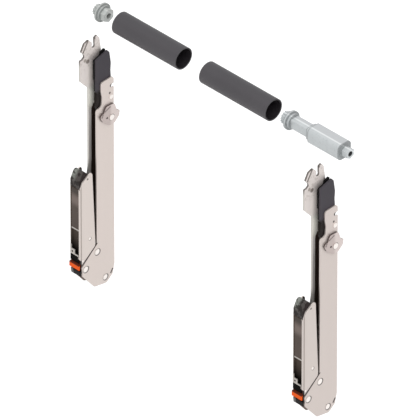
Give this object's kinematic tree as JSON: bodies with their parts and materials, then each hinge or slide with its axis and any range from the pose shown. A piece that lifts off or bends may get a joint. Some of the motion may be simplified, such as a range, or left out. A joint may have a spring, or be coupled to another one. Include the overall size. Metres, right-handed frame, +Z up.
{
  "type": "lift-up door mechanism",
  "caption": "Pair of folding steel lever arms with door clips for a lift-up cabinet door, shown with the tube and adapters of their cross stabiliser.",
  "frame": {"origin": "centre of the left arm's axle notch, in the middle of the notched wall", "axes": "+X across the cabinet from the left arm to the right arm, +Y into the cabinet, +Z up along the arms"},
  "size_m": [0.2854, 0.0459, 0.2672],
  "materials": {
    "steel": "nickel-plated, satin",
    "inner_steel": "zinc-plated, dull",
    "black_plastic": "fine satin",
    "orange_plastic": "satin",
    "panel_plastic": "smoked gloss",
    "tube_grey": "anthracite, matt",
    "cast_zinc": "die-cast, matt"
  },
  "bodies": {
    "arms": {"left_main_arm": "steel", "left_foot_plates": "inner_steel", "left_foot_rivets": "steel", "left_main_pin": "steel", "left_main_sleeve": "inner_steel", "left_catch_pin": "steel", "left_catch_spring": "inner_steel", "left_lock_rivet": "steel", "right_main_arm": "steel", "right_foot_plates": "inner_steel", "right_foot_rivets": "steel", "right_main_pin": "steel", "right_main_sleeve": "inner_steel", "right_catch_pin": "steel", "right_catch_spring": "inner_steel", "right_lock_rivet": "steel", "short_adapter": "cast_zinc", "right_tube": "tube_grey"},
    "left_fitting": {"left_fitting_frame": "steel", "left_clip_cap": "black_plastic", "left_cap_pin": "inner_steel", "left_clip_housing": "black_plastic", "left_clip_panel": "panel_plastic", "left_clip_bar": "steel", "left_lever_pin": "steel", "left_lever_spring": "inner_steel", "left_clip_guard": "black_plastic", "left_control_pin": "steel", "left_control_spacers": "inner_steel"},
    "left_control": {"left_control_lever": "steel"},
    "left_release": {"left_release_lever": "orange_plastic", "left_clip_hook": "steel"},
    "left_catch": {"left_hook_catch": "black_plastic"},
    "left_lock": {"left_lock_plate": "steel"},
    "right_fitting": {"right_fitting_frame": "steel", "right_clip_cap": "black_plastic", "right_cap_pin": "inner_steel", "right_clip_housing": "black_plastic", "right_clip_panel": "panel_plastic", "right_clip_bar": "steel", "right_lever_pin": "steel", "right_lever_spring": "inner_steel", "right_clip_guard": "black_plastic", "right_control_pin": "steel", "right_control_spacers": "inner_steel"},
    "right_control": {"right_control_lever": "steel"},
    "right_release": {"right_release_lever": "orange_plastic", "right_clip_hook": "steel"},
    "right_catch": {"right_hook_catch": "black_plastic"},
    "right_lock": {"right_lock_plate": "steel"},
    "left_tube": {"left_tube": "tube_grey"},
    "long_adapter": {"long_adapter": "cast_zinc"}
  },
  "joints": [
    {"name": "left_door_fold", "type": "hinge", "parent": "arms", "child": "left_fitting", "pos_m": [-0.006, -0.0093, -0.1844], "axis": [1, 0, 0], "range_deg": [0, 105]},
    {"name": "left_control_pivot", "type": "hinge", "parent": "left_fitting", "child": "left_control", "pos_m": [-0.006, -0.0268, -0.1378], "axis": [-1, 0, 0], "range_deg": [0, 105]},
    {"name": "left_release_press", "type": "hinge", "parent": "left_fitting", "child": "left_release", "pos_m": [-0.006, -0.0347, -0.15618], "axis": [1, 0, 0], "range_deg": [0, 8], "stiffness_Nm_per_rad": 0.02, "springref_deg": -17.19},
    {"name": "left_catch_swing", "type": "hinge", "parent": "arms", "child": "left_catch", "pos_m": [-0.006, -0.0021, -0.0102], "axis": [1, 0, 0], "range_deg": [0, 8], "stiffness_Nm_per_rad": 0.02, "springref_deg": -17.19},
    {"name": "left_lock_turn", "type": "hinge", "parent": "arms", "child": "left_lock", "pos_m": [-0.006, -0.0033, -0.0288], "axis": [1, 0, 0], "range_deg": [0, 30]},
    {"name": "right_door_fold", "type": "hinge", "parent": "arms", "child": "right_fitting", "pos_m": [0.2468, -0.0093, -0.1844], "axis": [1, 0, 0], "range_deg": [0, 105]},
    {"name": "right_control_pivot", "type": "hinge", "parent": "right_fitting", "child": "right_control", "pos_m": [0.2468, -0.0268, -0.1378], "axis": [-1, 0, 0], "range_deg": [0, 105]},
    {"name": "right_release_press", "type": "hinge", "parent": "right_fitting", "child": "right_release", "pos_m": [0.2468, -0.0347, -0.15618], "axis": [1, 0, 0], "range_deg": [0, 8], "stiffness_Nm_per_rad": 0.02, "springref_deg": -17.19},
    {"name": "right_catch_swing", "type": "hinge", "parent": "arms", "child": "right_catch", "pos_m": [0.2468, -0.0021, -0.0102], "axis": [1, 0, 0], "range_deg": [0, 8], "stiffness_Nm_per_rad": 0.02, "springref_deg": -17.19},
    {"name": "right_lock_turn", "type": "hinge", "parent": "arms", "child": "right_lock", "pos_m": [0.2468, -0.0033, -0.0288], "axis": [1, 0, 0], "range_deg": [0, 30]},
    {"name": "left_tube_plug", "type": "slide", "parent": "arms", "child": "left_tube", "axis": [-1, 0, 0], "range_m": [0, 0.021]},
    {"name": "long_adapter_plug", "type": "slide", "parent": "arms", "child": "long_adapter", "axis": [-1, 0, 0], "range_m": [0, 0.0217]}
  ],
  "couplings": [
    {"joint": "left_control_pivot", "follows": "left_door_fold", "ratio": 1},
    {"joint": "right_control_pivot", "follows": "left_door_fold", "ratio": 1},
    {"joint": "right_door_fold", "follows": "left_door_fold", "ratio": 1}
  ]
}
